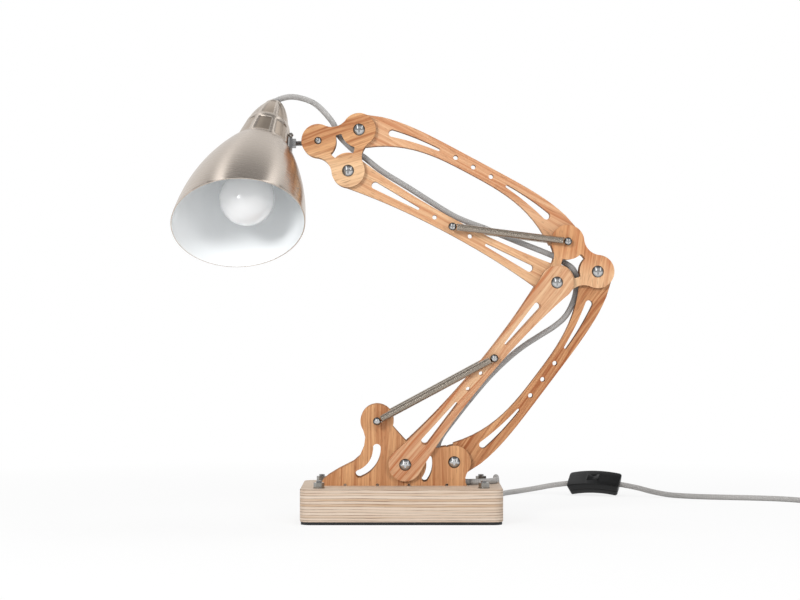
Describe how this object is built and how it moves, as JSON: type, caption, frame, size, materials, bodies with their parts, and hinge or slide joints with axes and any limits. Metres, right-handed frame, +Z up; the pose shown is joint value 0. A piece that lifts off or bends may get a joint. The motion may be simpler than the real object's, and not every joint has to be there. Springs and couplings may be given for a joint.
{
  "type": "desk lamp",
  "caption": "Desk lamp on a double swing arm of paired plywood plates with springs, a tilting spun metal shade, a plywood base and a textile lead with a rocker switch.",
  "frame": {"origin": "middle of the rubber sheet's underside, where the base rests on the table", "axes": "+Z up; X along the base, the shade hangs towards -X; Y across the base, +Y at the back; the arms swing in the XZ plane"},
  "size_m": [0.8152, 0.4749, 0.4651],
  "materials": {
    "ply_block": "plywood, edges showing the layers, clear satin varnish",
    "rubber": "plain black sheet",
    "steel_plain": "zinc plated",
    "steel_bright": "bright nickel plate",
    "wood": "plywood face, open straight grain, clear satin varnish",
    "spring_wire": "drawn spring wire, zinc plated",
    "shade_metal": "satin nickel plate outside, white paint inside the shade",
    "holder": "white",
    "bulb_glass": "frosted white",
    "lead_cloth": "braided grey textile over flexible cable",
    "switch_black": "black",
    "switch_rocker": "black",
    "plug_metal": "nickel plated"
  },
  "bodies": {
    "base": {"base_block": "ply_block", "base_pad": "rubber", "base_weight": "steel_plain", "base_bolts": "steel_bright", "base_nuts": "steel_bright", "bracket_near": "wood", "bracket_far": "wood", "base_pivot_bolts": "steel_bright", "base_spacers": "steel_plain", "base_spring_screws": "steel_bright", "lead_base": "lead_cloth", "free_lead": "lead_cloth", "lead_coil": "lead_cloth", "switch_case": "switch_black", "plug_body": "switch_black", "plug_pins": "plug_metal"},
    "lower_front": {"lower_front_arm_near": "wood", "lower_front_arm_far": "wood", "lower_arm_screws": "steel_bright", "lead_lower": "lead_cloth"},
    "lower_rear": {"lower_rear_arm_near": "wood", "lower_rear_arm_far": "wood"},
    "elbow": {"elbow_plate_near": "wood", "elbow_plate_far": "wood", "elbow_pivot_bolts": "steel_bright", "elbow_spacers": "steel_plain", "lead_elbow": "lead_cloth"},
    "upper_bottom": {"upper_bottom_arm_near": "wood", "upper_bottom_arm_far": "wood", "upper_arm_screws": "steel_bright", "lead_upper": "lead_cloth"},
    "upper_top": {"upper_top_arm_near": "wood", "upper_top_arm_far": "wood"},
    "head": {"head_plate_near": "wood", "head_plate_far": "wood", "head_pivot_bolts": "steel_bright", "head_spacers": "steel_plain", "lead_head": "lead_cloth"},
    "swivel": {"swivel_block": "steel_plain", "swivel_screws": "steel_bright", "swivel_rod": "steel_plain", "rod_nuts": "steel_plain"},
    "shade": {"shade": "shade_metal", "lampholder_cover": "shade_metal", "lampholder": "holder", "bulb_globe": "bulb_glass", "bulb_cap": "steel_plain", "cord_grip": "steel_plain", "shade_lug": "steel_plain", "lug_screw": "steel_bright", "lead_shade": "lead_cloth"},
    "lower_spring": {"lower_spring_near": "spring_wire", "lower_spring_far": "spring_wire"},
    "lower_spring_tip": {"lower_spring_hooks": "spring_wire"},
    "upper_spring": {"upper_spring_near": "spring_wire", "upper_spring_far": "spring_wire"},
    "upper_spring_tip": {"upper_spring_hooks": "spring_wire"},
    "rocker": {"switch_rocker": "switch_rocker"}
  },
  "joints": [
    {"name": "lower_arm", "type": "hinge", "parent": "base", "child": "lower_front", "pos_m": [0.004, 0, 0.0605], "axis": [0, -1, 0], "range_deg": [-8, 32], "deforming": ["lead_base", "lead_lower"]},
    {"name": "lower_rear_swing", "type": "hinge", "parent": "base", "child": "lower_rear", "pos_m": [0.057, 0, 0.063], "axis": [0, -1, 0], "range_deg": [-8.18, 31.2]},
    {"name": "elbow_tilt", "type": "hinge", "parent": "lower_front", "child": "elbow", "pos_m": [0.16787, 0, 0.25718], "axis": [0, -1, 0], "range_deg": [-41.38, 10.72], "deforming": ["lead_elbow"]},
    {"name": "upper_arm", "type": "hinge", "parent": "elbow", "child": "upper_bottom", "pos_m": [0.16787, 0, 0.25718], "axis": [0, -1, 0], "range_deg": [-20, 20], "deforming": ["lead_upper"]},
    {"name": "upper_top_swing", "type": "hinge", "parent": "elbow", "child": "upper_top", "pos_m": [0.17977, 0, 0.30161], "axis": [0, -1, 0], "range_deg": [-20.5, 20.5]},
    {"name": "head_level", "type": "hinge", "parent": "upper_bottom", "child": "head", "pos_m": [-0.05775, 0, 0.37815], "axis": [0, -1, 0], "range_deg": [-20.5, 20.5], "deforming": ["lead_head"]},
    {"name": "shade_tilt", "type": "hinge", "parent": "head", "child": "swivel", "pos_m": [-0.09027, 0, 0.41068], "axis": [0, -1, 0], "range_deg": [-50, 22], "deforming": ["lead_shade"]},
    {"name": "shade_roll", "type": "hinge", "parent": "swivel", "child": "shade", "pos_m": [-0.09027, 0, 0.40848], "axis": [1, 0, 0], "range_deg": [-40, 80]},
    {"name": "lower_spring_swing", "type": "hinge", "parent": "base", "child": "lower_spring", "pos_m": [-0.0264, 0, 0.1077], "axis": [0, -1, 0], "range_deg": [-8.97, 34.39], "deforming": ["lower_spring_near", "lower_spring_far"]},
    {"name": "lower_spring_stretch", "type": "slide", "parent": "lower_spring", "child": "lower_spring_tip", "axis": [0.8808, 0, 0.4734], "range_m": [-0.0308, 0.00808], "deforming": ["lower_spring_hooks"]},
    {"name": "upper_spring_swing", "type": "hinge", "parent": "elbow", "child": "upper_spring", "pos_m": [0.17977, 0, 0.30161], "axis": [0, -1, 0], "range_deg": [-19.54, 19.54], "deforming": ["upper_spring_near", "upper_spring_far"]},
    {"name": "upper_spring_stretch", "type": "slide", "parent": "upper_spring", "child": "upper_spring_tip", "axis": [-0.9918, 0, 0.1277], "range_m": [-0.01618, 0.01618], "deforming": ["upper_spring_hooks"]},
    {"name": "switch_rock", "type": "hinge", "parent": "base", "child": "rocker", "pos_m": [0.23465, 0.3228, 0.02023], "axis": [0.2695, 0.7405, 0.6157], "range_deg": [0, 14]}
  ],
  "couplings": [
    {"joint": "lower_rear_swing", "follows": "lower_arm", "ratio": 0.9594},
    {"joint": "elbow_tilt", "follows": "lower_arm", "ratio": -1.2776},
    {"joint": "upper_top_swing", "follows": "upper_arm", "ratio": 1},
    {"joint": "head_level", "follows": "upper_arm", "ratio": -1},
    {"joint": "lower_spring_swing", "follows": "lower_arm", "ratio": 1.0592},
    {"joint": "lower_spring_stretch", "follows": "lower_arm", "m_per_rad": -0.05426},
    {"joint": "upper_spring_swing", "follows": "upper_arm", "ratio": 0.9519},
    {"joint": "upper_spring_stretch", "follows": "upper_arm", "m_per_rad": 0.04492}
  ]
}
